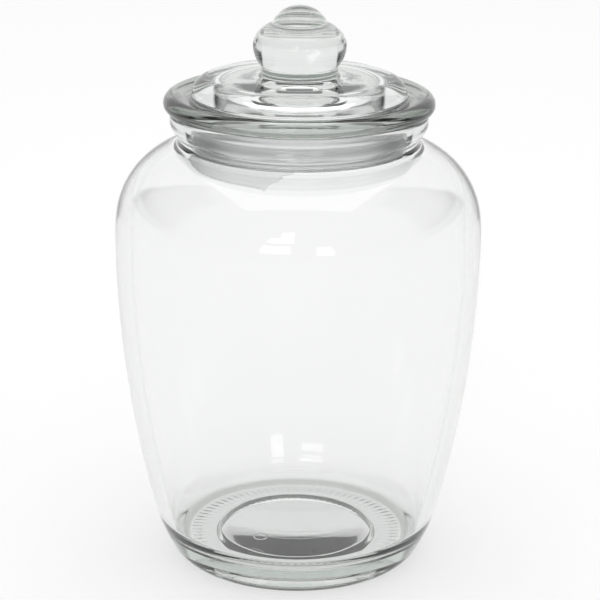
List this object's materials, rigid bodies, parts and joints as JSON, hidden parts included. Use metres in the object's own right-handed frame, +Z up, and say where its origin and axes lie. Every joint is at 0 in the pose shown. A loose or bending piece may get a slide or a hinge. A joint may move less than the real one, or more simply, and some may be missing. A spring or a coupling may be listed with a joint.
{
  "type": "candy jar",
  "caption": "Clear glass candy jar with rounded shoulders, a short beaded neck and a pressed glass knob lid carried on a ribbed plastic seal.",
  "frame": {"origin": "centre of the base, on the surface the jar stands on", "axes": "+Z up along the jar's axis, X to the right and -Y towards the viewer"},
  "size_m": [0.1788, 0.1788, 0.2787],
  "materials": {
    "jar_glass": "clear, polished",
    "lid_glass": "clear, pressed",
    "seal_plastic": "milky, flexible"
  },
  "bodies": {
    "root": {"jar": "jar_glass", "lid": "lid_glass", "seal": "seal_plastic"}
  },
  "joints": []
}
